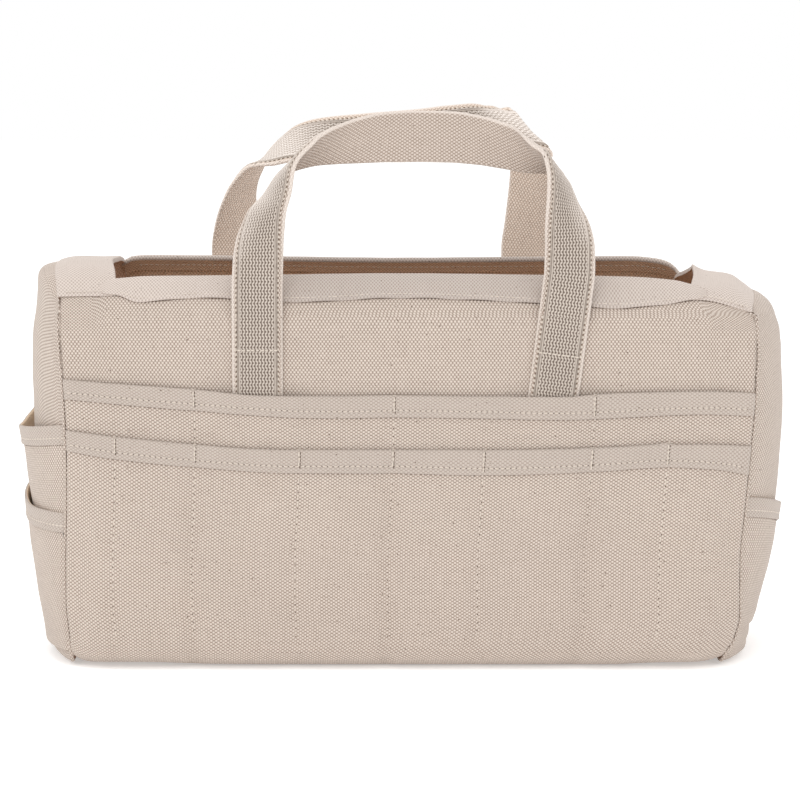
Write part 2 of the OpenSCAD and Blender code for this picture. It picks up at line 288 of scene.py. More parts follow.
# ---------------------------------------------------------------- materials
class Nodes:
    """A short way to write a material's nodes."""

    def __init__(self, name):
        self.material = bpy.data.materials.new(name)
        self.material.use_nodes = True
        self.tree = self.material.node_tree
        self.tree.nodes.clear()
        self.shader = self.make("BsdfPrincipled")
        self.link(self.shader.outputs[0], self.make("OutputMaterial").inputs["Surface"])

    def make(self, kind):
        return self.tree.nodes.new("ShaderNode" + kind)

    def link(self, source, target):
        self.tree.links.new(source, target)

    def fill(self, sockets, values):
        """Gives each socket its value, or links it to the socket that stands in for one."""
        for socket, value in zip(sockets, values):
            if isinstance(value, bpy.types.NodeSocket):
                self.link(value, socket)
            else:
                socket.default_value = value

    def surface(self, values):
        """Finishes the material, with a value or a socket for each of its shader's inputs."""
        self.fill([self.shader.inputs[key] for key in values], values.values())
        return self.material

    def maths(self, operation, a, b=0.0, c=0.0):
        node = self.make("Math")
        node.operation = operation
        self.fill(node.inputs, (a, b, c))
        return node.outputs[0]

    def times(self, a, b):
        return self.maths("MULTIPLY", a, b)

    def noise(self, vector, scale, detail=2.0):
        node = self.make("TexNoise")
        sockets = [node.inputs[key] for key in ("Vector", "Scale", "Detail", "Roughness")]
        self.fill(sockets, (vector, scale, detail, 0.5))
        return node.outputs["Fac"]

    def stretched_noise(self, u, v, detail):
        """Noise of two places that are already scaled."""
        return self.noise(self.combine(u, v), 1.0, detail)

    def combine(self, x, y, z=0.0):
        node = self.make("CombineXYZ")
        self.fill(node.inputs, (x, y, z))
        return node.outputs[0]

    def spread(self, value, low, high, to_low=0.0, to_high=1.0):
        node = self.make("MapRange")
        node.clamp = True
        self.fill(node.inputs, (value, low, high, to_low, to_high))
        return node.outputs[0]

    def mix(self, share, a, b, blend="MIX"):
        node = self.make("Mix")
        node.data_type = "RGBA"
        node.blend_type = blend
        self.fill([node.inputs[0], *node.inputs[6:8]], (share, a, b))
        return node.outputs[2]

    def dim(self, colour, share):
        return self.mix(1.0, colour, self.combine(share, share, share), "MULTIPLY")

    def cloth_place(self):
        """Places across and along the cloth, in millimetres, and the vector itself in metres."""
        node = self.make("UVMap")
        node.uv_map = "cloth"
        split = self.make("SeparateXYZ")
        self.link(node.outputs[0], split.inputs[0])
        return self.times(split.outputs[0], 1000.0), self.times(split.outputs[1], 1000.0), node.outputs[0]

    def cloth(self, colour, height, strength, depth, roughness):
        """Finishes the material as cloth, with its colour and its weave as bumps."""
        bump = self.make("Bump")
        bump.inputs["Strength"].default_value = strength
        bump.inputs["Distance"].default_value = depth
        self.link(height, bump.inputs["Height"])
        return self.surface({
            "Normal": bump.outputs[0], "Base Color": colour, "Roughness": roughness, "Specular IOR Level": 0.25,
            "Sheen Weight": 0.18, "Sheen Roughness": 0.6, "Sheen Tint": (1.0, 0.96, 0.92, 1.0),
        })


def rgb(*display):
    """A colour given in display values from 0 to 255, as the linear values that a shader takes."""
    shares = [v / 255 for v in display]
    return (*(v / 12.92 if v <= 0.04045 else ((v + 0.055) / 1.055) ** 2.4 for v in shares), 1.0)


def canvas_material(name, crown, ground, gap, pitch, relief=0.5, ribs=0.3, cords=(), shaded=None):
    """Plain weave: each crossing is a crown of one thread, in staggered rows, with darker gaps between them.

    pitch is the threads' spacing across and along, cords are where a strap's raised edges run, and shaded is a band
    of shadow across the cloth: its middle, where it starts and ends to fade, and the light that is left.
    """
    nodes = Nodes(name)
    maths, times, noise, spread, mix = nodes.maths, nodes.times, nodes.noise, nodes.spread, nodes.mix
    across, along, place = nodes.cloth_place()
    lean = maths("MULTIPLY_ADD", noise(place, 38.0, 1.0), 0.3, -0.15)
    u, v = maths("ADD", across, lean), maths("SUBTRACT", along, lean)
    waves = [maths("SINE", times(value, math.pi / step)) for value, step in zip((u, v), pitch)]
    long_way, value = (pitch[0], u) if pitch[0] > pitch[1] else (pitch[1], v)
    rib = maths("COSINE", times(value, math.tau / long_way))
    weave = maths("MULTIPLY_ADD", rib, -ribs, times(*waves))
    thick_u = nodes.stretched_noise(times(u, 0.9), times(v, 0.05), 1.0)
    thick_v = nodes.stretched_noise(times(u, 0.05), times(v, 0.9), 1.0)
    slub = maths("ADD", thick_u, thick_v)
    level = maths("MULTIPLY_ADD", maths("SUBTRACT", slub, 1.0), 0.3, weave)
    colour = mix(spread(level, -0.1, 0.95), rgb(*ground), rgb(*crown))
    colour = mix(spread(level, -0.05, -0.95), colour, rgb(*gap))
    colour = nodes.dim(colour, spread(noise(place, 14.0, 3.0), 0.35, 0.7, 0.98, 1.015))
    # Along each cord the cloth is painted lighter: a painted highlight on the strap's raised edge.
    for cord in cords:
        near = spread(maths("ABSOLUTE", maths("SUBTRACT", across, cord)), 1.3, 2.4, 0.6, 0.0)
        colour = mix(near, colour, rgb(233, 222, 213))
    if shaded is not None:
        middle, near, far, least = shaded
        away = maths("ABSOLUTE", maths("SUBTRACT", across, middle))
        colour = nodes.dim(colour, spread(away, near, far, least, 1.0))
    seeds = spread(noise(place, 620.0, 0.0), 0.80, 0.86)
    colour = mix(times(seeds, 0.8), colour, rgb(96, 76, 60))
    fuzz = times(noise(place, 1900.0, 2.0), 0.35)
    height = maths("ADD", maths("MULTIPLY_ADD", slub, 0.25, weave), fuzz)
    return nodes.cloth(colour, height, relief, 0.00035, 0.93)


def webbing_material(name):
    """Chevron webbing: rows of short slanting yarns that lean left and right in turn, with a ribbed selvage."""
    nodes = Nodes(name)
    maths, times, spread, mix = nodes.maths, nodes.times, nodes.spread, nodes.mix
    across, along, place = nodes.cloth_place()
    column, row = 2.0, 1.97
    along_up = maths("ADD", along, 400.0)
    turn = maths("PINGPONG", along_up, row)
    shift = maths("MULTIPLY_ADD", turn, 0.5, times(nodes.noise(place, 90.0, 1.0), 0.5))
    yarns = maths("SINE", times(maths("ADD", across, shift), math.tau / column))
    knots = maths("COSINE", times(along_up, math.tau / row))
    weave = maths("MULTIPLY_ADD", knots, -0.5, yarns)
    edge = spread(maths("ABSOLUTE", across), 10.3, 10.9)
    ridge = times(maths("COSINE", times(across, math.tau / 1.6)), 0.5)
    height = maths("ADD", times(weave, maths("SUBTRACT", 1.0, edge)), times(ridge, edge))
    slub = nodes.stretched_noise(times(across, 1.2), times(along, 0.25), 2.0)
    light = spread(maths("ADD", height, maths("MULTIPLY_ADD", slub, 0.8, -0.4)), -0.8, 0.7)
    # Painted light and shade: gaps and yarns are lighter where the webbing faces up, and the dark gaps on its upright
    # legs are painted shade, as if lit from above.
    facing = nodes.make("SeparateXYZ")
    nodes.link(nodes.make("NewGeometry").outputs["Normal"], facing.inputs["Vector"])
    gap = mix(spread(facing.outputs["Z"], 0.05, 0.6), rgb(102, 88, 77), rgb(180, 167, 156))
    yarn = mix(spread(facing.outputs["Z"], 0.1, 0.7), rgb(202, 190, 179), rgb(236, 226, 218))
    colour = nodes.dim(mix(light, gap, yarn), spread(nodes.noise(place, 18.0, 2.0), 0.3, 0.7, 0.96, 1.03))
    return nodes.cloth(colour, height, 0.5, 0.0004, 0.9)


def thread_material(name, light, dark):
    """Sewing thread: two plies that twist round each other."""
    nodes = Nodes(name)
    across, along, _ = nodes.cloth_place()
    twist = nodes.maths("SINE", nodes.times(nodes.maths("ADD", across, along), math.tau / 0.45))
    colour = nodes.mix(nodes.spread(twist, -1, 1), rgb(*dark), rgb(*light))
    return nodes.cloth(colour, twist, 0.4, 0.0001, 0.75)


WIDE, TALL, FINE, TAPE = (1.54, 1.06), (1.12, 1.49), (1.09, 1.6), (1.06, 1.54)
CREAM = ((220, 208, 198), (190, 175, 163), (120, 101, 88))
PALE = ((212, 201, 193), (199, 186, 177), (162, 146, 135))
EDGES = (31.4, 64.7)
WALL = canvas_material("canvas_wall", *CREAM, TALL)
POCKET = canvas_material("canvas_pocket", *CREAM, WIDE)
FOLDED = canvas_material("canvas_hem", (196, 185, 176), (184, 171, 161), (148, 134, 123), WIDE, relief=0.3)
TRIM = canvas_material("canvas_trim", *PALE, FINE, 0.3, 0.1)
BAND = canvas_material("canvas_band", *PALE, FINE, 0.3, 0.1, shaded=(215, 80, 185, 0.84))
STRAP = canvas_material("canvas_strap", (212, 199, 189), (186, 171, 159), (124, 104, 90), TAPE, cords=EDGES)
# The back handle's canvas is a lighter copy of the front's: painted light on the back straps, which the bag and the
# front handle shade.
FAR_STRAP_PAINTED_LIGHT = canvas_material("canvas_far_strap_painted_light", (240, 224, 210), (216, 198, 183), (160, 138, 120), TAPE, cords=EDGES)
# The inside faces' canvas is browner and warmer than the outside's: painted warm shade of the bag's deep inside,
# where light bounces between its walls.
INSIDE_PAINTED_SHADE = canvas_material("canvas_inside_painted_shade", (228, 199, 173), (216, 184, 156), (166, 136, 110), TALL, 0.4)
# The caps' undersides are lighter and pinker than their tops: painted warm bounce light in the shade under the caps.
UNDERSIDE_PAINTED_LIGHT = canvas_material("canvas_under_cap_painted_light", (240, 216, 198), (228, 200, 180), (186, 156, 136), TALL, 0.3)
# The end pockets' insides are warmer and lighter than the outside: painted warm bounce light inside the pockets.
POCKET_INSIDE_PAINTED_BOUNCE = canvas_material("canvas_in_pocket_painted_bounce", (244, 226, 202), (234, 210, 180), (206, 176, 144), TALL, 0.3)
WEBBING = webbing_material("webbing")
THREAD = thread_material("thread", (226, 215, 203), (202, 189, 176))
# Dark dashes between the strap's stitches: painted shade in its needle punctures.
SHADE = thread_material("strap_painted_shade", (146, 126, 110), (112, 94, 80))
# Dark dots of painted shade: the shade in each needle hole, in the seams' grooves and under the hems' and bands'
# edges.
PAINTED_SHADE_DOTS = thread_material("painted_shade_dot", (104, 84, 68), (74, 58, 46))


def finish_piece(piece, slot, *replaced, body="bag"):
    """Attaches a piece to the body that carries it, where one is given, and hides the CAD solids that it stands for;
    slot, its finish, is not used.
    """
    if body is not None:
        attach(piece, body)
    if replaced:
        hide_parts(*replaced)


# ---------------------------------------------------------------- the bag's outline
left_inset = line((4, 5.8), (12, 5.4), (17, 5.2), (26, 4.3), (41, 3.1), (69, 3.2), (104, 4.2), (136, 4.4), (169, 3.2),
                  (184, 2.3), (212, 0.3), (226, 0.0))
right_inset = line((0, 20.0), (4.4, 18.0), (9.7, 16.2), (14.8, 13.0), (24.5, 10.0), (31, 8.6), (69, 8.7), (95, 6.5),
                   (121, 4.2), (171, 0.2), (209, -0.8), (223, 0.0), (227, 4.5), (241, 6.6))
NEAR_RIM = line((-184, -2.1), (-165, -0.6), (-110, -0.1), (-4, 1.2), (98, -0.1), (142, -1.0), (170, -3.1),
                (181, -5.7))
FAR_RIM = line((-191, 3.7), (-185, 5.7), (-176, 6.3), (-118, 5.9), (-4, 4.5), (105, 5.3), (153, 5.6), (171, 3.9),
               (179, 1.6), (184, -2.2))
BAND_LOW = line((-218, 235.2), (-183, 235.9), (-169, 232.1), (-130, 234.6), (-67, 232.1), (-4, 234.6), (59, 232.7),
                (97, 230.2), (135, 228.3), (161, 230.4), (185, 233.0), (217, 226.4))
left_lift = line((0, 6.0), (6, 3.0), (12, 1.6), (50, 1.5), (90, 0.3), (120, 0.0))
right_lift = line((0, 5.0), (6, 3.0), (14, 1.6), (40, 1.2), (70, 0.0))
BAND_OUT = 1.3
BAND_PAST = 9.0
EDGE_ROLL = 3.2
NOMINAL_LEFT, NOMINAL_RIGHT = -216.0, 214.0
LENGTH = NOMINAL_RIGHT - NOMINAL_LEFT


def left_x(z):
    return wrap_low[0] + left_inset(z)


def right_x(z):
    return wrap_high[0] - right_inset(z)


def seam_x(side, z):
    return left_x(z) if side == LEFT else right_x(z)


def between_seams(share, z):
    """Places along the bag at a share of the way from the left seam to the right one."""
    return seam_x(LEFT, z) + (seam_x(RIGHT, z) - seam_x(LEFT, z)) * share


def rim_height(x, side):
    """Height of the band's top, which differs at the front and the back."""
    return rim_z + (NEAR_RIM(x) if side == FRONT else FAR_RIM(x))


def past_right(x, width):
    """0 over the opening, and 1 a little way past its right end."""
    return smooth(x - opening_right, 2.5, 2.5 + width)


def under_cap(x):
    """0 over the opening, and 1 a little way under either cap."""
    return np.maximum(smooth(opening_left - x, 2, 12), past_right(x, 7))


def bottom_lift(share, z):
    """The bottom corners of the outline are rounded, so low points there rise."""
    lift = left_lift(share * LENGTH) + right_lift((1 - share) * LENGTH)
    return lift * np.clip(1 - z / 34, 0, 1) ** 2


def shoulder_height(x, side):
    """How high the wall's edge, under the rim's fold, lies above the foot of the shoulder."""
    return rim_height(x, side) - RIM_FOLD - SHOULDER_Z


def shoulder_point(x, angle, off, side):
    """Depth and height on the shoulder, at an angle above the horizontal; off is outwards."""
    stretch = shoulder_height(x, side) / (SHOULDER_R * RIM_SINE)
    y = shoulder_y + (SHOULDER_R + off) * np.cos(angle)
    z = SHOULDER_Z + (SHOULDER_R * stretch + off) * np.sin(angle)
    return y, z


def shoulder_angle(x, z, side):
    """The angle at which the shoulder reaches a height."""
    return np.arcsin(np.clip((z - SHOULDER_Z) * RIM_SINE / shoulder_height(x, side), 0, 0.99))


def wall_swell(x, z, side):
    """How far the wall stands out of its plane: a slack belly and slow unevenness."""
    return wobble(x, z, 0.55, 11 + side) * smooth(z, 2, 40)


def shoulder_seam(x, angle, off, side, facing=1):
    """A line of sewing along the shoulder: its points, and the way that each faces."""
    y, z = shoulder_point(x, angle, off, side)
    points = np.stack([x, side * (y + wall_swell(x, z, side)), z], -1)
    return points, facing * np.stack([0 * x, side * np.cos(angle), np.sin(angle)], -1)


def wall_section(share, side, depth):
    """The wall from its rim to the middle of the base, at places along the bag, depth into the cloth."""
    share = share[:, None]
    x = NOMINAL_LEFT + LENGTH * share
    off = -depth - roll(np.minimum(share, 1 - share) * LENGTH, EDGE_ROLL)
    hidden = under_cap(x)
    top = math.radians(RIM_ANGLE) * (1 - hidden) + shoulder_angle(x, BAND_LOW(x) + 1.6, side) * hidden
    angle = top * np.linspace(1, 0, 18)[None, :]
    y1, z1 = shoulder_point(x, angle, off, side)
    z2 = np.linspace(SHOULDER_Z, CORNER_R, 42)[None, 1:-1] + 0 * share
    y2 = wall_y + off + 0 * z2
    a = np.radians(np.linspace(0, 90, 9))[None, :]
    y3 = wall_y - CORNER_R + (CORNER_R + off) * np.cos(a)
    z3 = CORNER_R - (CORNER_R + off) * np.sin(a)
    y4 = np.linspace(wall_y - CORNER_R, 0, 12)[None, 1:] + 0 * share
    z4 = -off + 0 * y4
    z = np.concatenate([z1, z2, z3, z4], 1)
    y = np.concatenate([y1, y2, y3, y4], 1) + wall_swell(x, z, side)
    z = z + bottom_lift(share, z)
    return np.stack([between_seams(share, z), side * y, z], -1)


def body_wrap():
    share = shares(LENGTH, 4.2)
    grids = []
    for depth in (0.0, CANVAS_T):
        front = wall_section(share, FRONT, depth)
        back = wall_section(share, BACK, depth)
        grids.append(np.concatenate([front, back[:, -2::-1]], 1))
    # The wrap's inner faces take the inside's painted warm shade.
    finish_piece(sheet("wrap_panel", *grids, [WALL, INSIDE_PAINTED_SHADE], inside=1), "canvas", "body_wrap")


# ---------------------------------------------------------------- rim bands and caps
def band_grid(x, side, depth):
    """A band over the rim: up its outside, over the fold and down its inside."""
    hidden = under_cap(x)[:, None]
    x = x[:, None]
    low = shoulder_angle(x, BAND_LOW(x) + 2.0 * hidden, side)
    drop = past_right(x, 6.5)
    top = np.radians(RIM_ANGLE - 6 * hidden) * (1 - drop) + shoulder_angle(x, BAND_LOW(x) + 6.0, side) * drop
    outside = low + (top - low) * np.linspace(0, 1, 12)[None, :]
    off = BAND_OUT - depth - 0.8 * hidden + 0 * outside
    y1, z1 = shoulder_point(x, outside, off, side)
    fold = np.radians(np.linspace(0, 180, 11))[None, 1:-1]
    thick = BAND_OUT + CANVAS_T / 2
    cy, cz = shoulder_point(x, top, BAND_OUT - thick, side)
    y2 = cy + (thick - depth) * np.cos(top + fold)
    z2 = cz + (thick - depth) * np.sin(top + fold)
    inside = top - np.radians(np.linspace(0, 17, 8))[None, :]
    y3, z3 = shoulder_point(x, inside, -CANVAS_T - BAND_OUT + depth + 0 * inside, side)
    y, z = np.concatenate([y1, y2, y3], 1), np.concatenate([z1, z2, z3], 1)
    ripple = 0.35 * np.sin(x / 5.3 + side) * bell(np.linspace(0, 1, y.shape[1])[None, :], 0.0, 0.3)
    return np.stack([x + 0 * y, side * (y + wall_swell(x, z, side)), z + ripple], -1)


def rim_band(side, node, name):
    x = np.linspace(opening_left - BAND_PAST, opening_right + BAND_PAST, 120)
    outer = band_grid(x, side, 0.0)
    inner = band_grid(x, side, CANVAS_T)
    # The last strips, down the band's inside, take the inside's painted warm shade.
    lip = 7
    band = [0] * (outer.shape[1] - 1 - lip) + [1] * lip
    finish_piece(sheet(name, outer, inner, [BAND, INSIDE_PAINTED_SHADE], band), "trim_canvas", node)


left_crest = line((0, 254.4), (0.22, 256.6), (0.45, 257.2), (0.75, 256.6), (1, 256.3))
right_crest = line((0, 236.5), (0.14, 240.6), (0.34, 245.4), (0.55, 246.7), (0.75, 247.6), (0.88, 249.3), (1, 252.2))
cap_round = line((0, 1.0), (0.33, 0.955), (0.58, 0.82), (0.8, 0.56), (0.92, 0.25), (1, 0.0))
cap_full = line((0, 1.0), (0.4, 0.98), (0.8, 0.84), (0.93, 0.45), (1, 0.0))
cap_flat = line((0, 1.0), (0.4, 0.93), (0.7, 0.72), (0.88, 0.42), (1, 0.0))
cap_tent = line((0, 1.0), (0.12, 0.90), (0.45, 0.70), (0.8, 0.46), (0.93, 0.2), (1, 0.0))

CAP_HALF = 75.5


def cap_ends(side, q):
    """Where a cap starts, over its end panel's top edge, and where its free edge lies, over its width."""
    y = q * CAP_HALF
    top = panel_top(side, y)
    seam = end_seam(side, y, top) + side * (panel_out(side, y, top) + 0.4)
    if side == LEFT:
        return seam, opening_left - 6.9 * smooth(q, -0.95, -0.1)
    return seam, opening_right - 0.8 + 7.8 * (1 - q**2) ** 2 + 2.5 * np.clip(q, 0, 1)


def cap_grid(side, t, q, depth):
    """A cap over one end of the opening; t runs from its seam to its free edge and q from front to back."""
    t, q = t[:, None], q[None, :]
    start, end = cap_ends(side, q)
    x = start + (end - start) * t
    far = np.abs(q)
    low = BAND_LOW(x)
    if side == LEFT:
        crest = left_crest(t)
        raised = smooth(t, 0.4, 0.95) * (q > 0)
        shape = cap_round(far) * (1 - raised) + cap_full(far) * raised
    else:
        crest = right_crest(t)
        tent = smooth(t, 0.35, 0.95)
        shape = cap_flat(far) * (1 - tent) + cap_tent(far) * tent
    z = low + (crest - low) * shape
    front_angle = shoulder_angle(x, low, FRONT)
    reach = shoulder_y + (SHOULDER_R + BAND_OUT) * np.cos(front_angle)
    y = q * reach
    turned = roll(t * np.abs(end - start), 1.4)
    lip = roll((1 - t) * np.abs(end - start), 1.3)
    angle = far**2.2 * math.radians(54)
    inward = depth + turned + lip * 0.9
    y = y - np.sign(q) * np.sin(angle) * inward
    z = z - np.cos(angle) * inward + wobble(x, y, 0.5, 31 + side)
    return np.stack([x + 0 * y, y, z], -1)


def top_cap(side, node, name):
    t = np.concatenate([[0, 0.012, 0.03, 0.055, 0.09], np.linspace(0.13, 0.90, 20), [0.935, 0.96, 0.98, 0.992, 1]])
    q = np.sin(np.radians(np.linspace(-90, 90, 61)))
    outer = cap_grid(side, t, q, 0.0)
    hem = CANVAS_T + 0.8 * smooth(t, 0.62, 0.68)
    inner = cap_grid(side, t, q, hem[:, None])
    # The cap's underside takes its painted warm bounce light.
    finish_piece(sheet(name, outer, inner, [TRIM, UNDERSIDE_PAINTED_LIGHT], inside=1), "trim_canvas", node)


# ---------------------------------------------------------------- end panels and their pockets
stand_of = {
    LEFT: line((0, 18), (9, 20), (22, 20.6), (31, 20.8), (55, 22.8), (100, 27), (120, 28.6), (175, 28.8), (206, 26.4),
               (230, 23)),
    RIGHT: line((0, 24), (9, 21.5), (18.7, 18), (23, 17), (29, 17.5), (46, 22), (60, 26), (77, 28.8), (115, 28.8),
                (131, 28.4), (170, 26.3), (204, 23.6), (213, 24.2), (236, 25.5)),
}
crown_of = {
    LEFT: line((0, 0.12), (0.8, 0.32), (1.7, 0.54), (6.4, 0.71), (15, 0.82), (24, 0.93), (36, 0.98), (48, 1.0)),
    RIGHT: line((0, 0.12), (0.9, 0.22), (3, 0.40), (8.7, 0.66), (15.8, 0.79), (23.7, 0.93), (33, 1.0)),
}
PANEL_HALF = 81.0
CAP_FOOT_X = {LEFT: -218.0, RIGHT: 217.0}


def panel_top(side, y):
    """Height of an end panel's top edge over its depth: it meets the cap, and then the wall's shoulder."""
    far = np.abs(y)
    low = BAND_LOW(CAP_FOOT_X[side])
    crest, shape = (left_crest(0), cap_round) if side == LEFT else (right_crest(0), cap_flat)
    cap = low + (crest - low) * shape(np.clip(far / CAP_HALF, 0, 1)) - 0.5
    reach = np.clip(far - shoulder_y, 0, SHOULDER_R - 0.6)
    return np.minimum(cap, SHOULDER_Z + np.sqrt((SHOULDER_R - 0.5) ** 2 - reach ** 2))


def panel_base(y):
    over = np.clip(np.abs(y) - (PANEL_HALF - CORNER_R), 0, CORNER_R)
    return CORNER_R - np.sqrt(np.maximum(CORNER_R**2 - over**2, 0)) + 1.2


def end_seam(side, y, z):
    """The end seam bows outwards under the caps, where the end panels are fullest."""
    middle = 1 - np.clip(np.abs(y) / PANEL_HALF, 0, 1) ** 2
    if side == LEFT:
        return left_x(z) - 5.9 * middle * smooth(z, 220, 254)
    eased = right_x(209) + (z - 209) * 0.07
    return right_x(z) + (eased - right_x(z)) * middle * smooth(z, 206, 212)


def panel_out(side, y, z):
    """How far an end panel stands out past its seam."""
    u = np.clip(np.abs(y) / PANEL_HALF, 0, 1)
    crown = crown_of[side](np.maximum(panel_top(side, y) - z, 0))
    foot = np.clip((z - panel_base(y)) / 4.5, 0, 1)
    closing = np.sqrt(np.clip(1 - (1 - foot) ** 2, 0, 1)) * crown
    round_edge = (1 - u ** 2.6) ** 0.86
    return (stand_of[side](z) + wobble(y, z, 0.8, 41 + side)) * round_edge * closing


def end_panel(side, node, name):
    y = PANEL_HALF * np.sin(np.radians(np.linspace(-90, 90, 61)))
    rise = (1 - np.cos(np.radians(np.linspace(0, 180, 75)))) / 2
    y = y[:, None]
    z = panel_base(y) + (panel_top(side, y) - panel_base(y)) * rise[None, :]
    x = end_seam(side, y, z) + side * (panel_out(side, y, z) - 0.3)
    outer = np.stack([x, y + 0 * z, z], -1)
    normal = unit(np.cross(np.gradient(outer, axis=0), np.gradient(outer, axis=1)))
    normal *= np.sign(normal[30, 33, 0]) * side
    inner = outer - normal * CANVAS_T
    cloth = POCKET if side == LEFT else WALL
    # The panel's inner faces take the inside's painted warm shade.
    finish_piece(sheet(name, outer, inner, [cloth, INSIDE_PAINTED_SHADE], inside=1), "canvas", node)


HEM_GROOVE = 4.2


def hemmed_profile(base, foot, mouth, plain=24):
    """A hemmed panel's outside and inside, from base to mouth: how far out, and how high. All may be columns."""
    base, foot, mouth = (np.asarray(v, float)[:, None] for v in (base, foot, mouth))
    t = np.linspace(0, 1, plain)[None, :]
    ledge = np.array([(CANVAS_T + 0.1, 0.25), (1.8, -0.15), (2.45, 0.1), (2.75, 0.8), (2.7, 1.7)])
    face = np.linspace(0, 1, 13)[None, 1:-1]
    top_r = 1.35
    curve = np.radians(np.linspace(0, 82, 6))[None, :]
    column = 0 * base
    high1 = base + (foot - base) * t * 0.999
    high2 = foot + ledge[:, 1]
    start = foot + 1.9
    high3 = start + (mouth - top_r - 0.1 - start) * face
    out3 = 2.55 - 0.4 * bell(high3 - foot, HEM_GROOVE, 1.0) - 0.1 * face
    high4 = mouth - top_r + top_r * np.sin(curve)
    out4 = 2.45 - top_r + top_r * np.cos(curve) + column
    out = np.concatenate([CANVAS_T + 0 * high1, ledge[:, 0] + column, out3, out4], 1)
    outer = out, np.concatenate([high1, high2, high3, high4], 1)
    count = out.shape[1]
    high_in = base + (mouth - top_r - base) * np.linspace(0, 1, count - 6)
    back = np.radians(np.linspace(180, 98, 7))[None, 1:]
    high_top = mouth - top_r + top_r * np.sin(back)
    out_top = top_r * 0.82 + top_r * 0.82 * np.cos(back) + column
    inner = np.concatenate([0 * high_in, out_top], 1), np.concatenate([high_in, high_top], 1)
    return outer, inner, [0] * plain + [1] * (count - plain - 1)


END_POCKETS = {
    # Side, base height, the mouth's height over the depth, how far it stands off at its sides, base and mouth, and
    # how sharply it flares towards its mouth
    "left_end_upper_pocket": (
        LEFT, 31, line((-80, 154.5), (-65, 152.0), (-40, 149.5), (0, 147.5), (25, 151), (45, 158), (62, 163.5),
                       (80, 167)), 0.2, 0.6, 8.0, 2.4),
    "left_end_lower_pocket": (
        LEFT, 10, line((-80, 98.5), (-50, 99), (-20, 103), (10, 106.5), (80, 108)), 1.4, 1.6, 5.0, 0.9),
    "right_end_pocket": (
        RIGHT, 24, line((-80, 108.5), (-62, 105), (-30, 99), (0, 95.5), (55, 103), (80, 109)), 0.2, 0.6, 1.6, 0.9),
}


def end_pocket(node, name, threads, shade_dots):
    side, base_z, mouth, edge_off, base_off, mouth_off, flare = END_POCKETS[node]
    y = (PANEL_HALF + 0.6) * np.sin(np.radians(np.linspace(-90, 90, 61)))
    top = mouth(y)
    hem_depth = 12.5
    outer, inner, band = hemmed_profile(base_z + 0 * y, top - hem_depth, top)

    def place(profile):
        out, z = profile
        depth = y[:, None] + 0 * z
        t = np.clip((z - base_z) / (top[:, None] - base_z), 0, 1)
        u = np.abs(depth) / PANEL_HALF
        off = edge_off + (base_off + (mouth_off - base_off) * t ** flare) * (1 - u ** 3)
        turned = roll((1 - u) * PANEL_HALF, 1.2)
        x = end_seam(side, depth, z) + side * (panel_out(side, depth, z) + off + out - turned - 0.3)
        return np.stack([x, depth, z], -1)

    # The pocket's inner faces take the painted warm bounce light of its inside.
    piece = sheet(name, place(outer), place(inner), [WALL, FOLDED, POCKET_INSIDE_PAINTED_BOUNCE], band, 2)
    finish_piece(piece, "canvas", node)
    normals = np.stack([side + 0 * y, 0.5 * y / PANEL_HALF, 0 * y], -1)

    def seam(out, height):
        z = (top - hem_depth + height)[:, None]
        return place((out + 0 * z, z))[2:-2, 0], normals[2:-2]

    threads.row(seam(2.2, HEM_GROOVE), 3.6, 2.8, radius=0.4, seed=7)
    # Dark dots along the hem's foot: painted shade under its edge.
    shade_dots.row(seam(CANVAS_T, -0.2), 2.1, 1.4, radius=0.3, seed=8)


# ---------------------------------------------------------------- front and back pockets
UPPER_TOP = line((-216, 7.0), (-186, 4.5), (-135, 0.8), (-92, -3.0), (-48, -3.6), (-11, -3.0), (40, -3.7), (97, -3.7),
                 (114, -2.4), (147, -1.2), (184, -0.6), (205, -1.2), (219, -2.8))
UPPER_FOOT = line((-216, -5.5), (-136, -12.5), (-48, -17.5), (-11, -16.9), (97, -18.2), (185, -15.0), (219, -16.6))
LOWER_TOP = line((-216, 7.8), (-185, 4.1), (-134, -0.8), (-98, -3.4), (-70, -4.1), (-11, -4.1), (46, -4.1),
                 (113, -2.9), (150, -1.0), (161.4, 0.4), (164, -0.8), (184, -0.6), (216, -2.4))
LOWER_FOOT = line((-216, -5.3), (-185, -9.7), (-134, -14.8), (-70, -18.6), (-11, -18.6), (46, -19.8), (113, -17.9),
                  (162, -14.8), (190, -16.0), (216, -21.0))


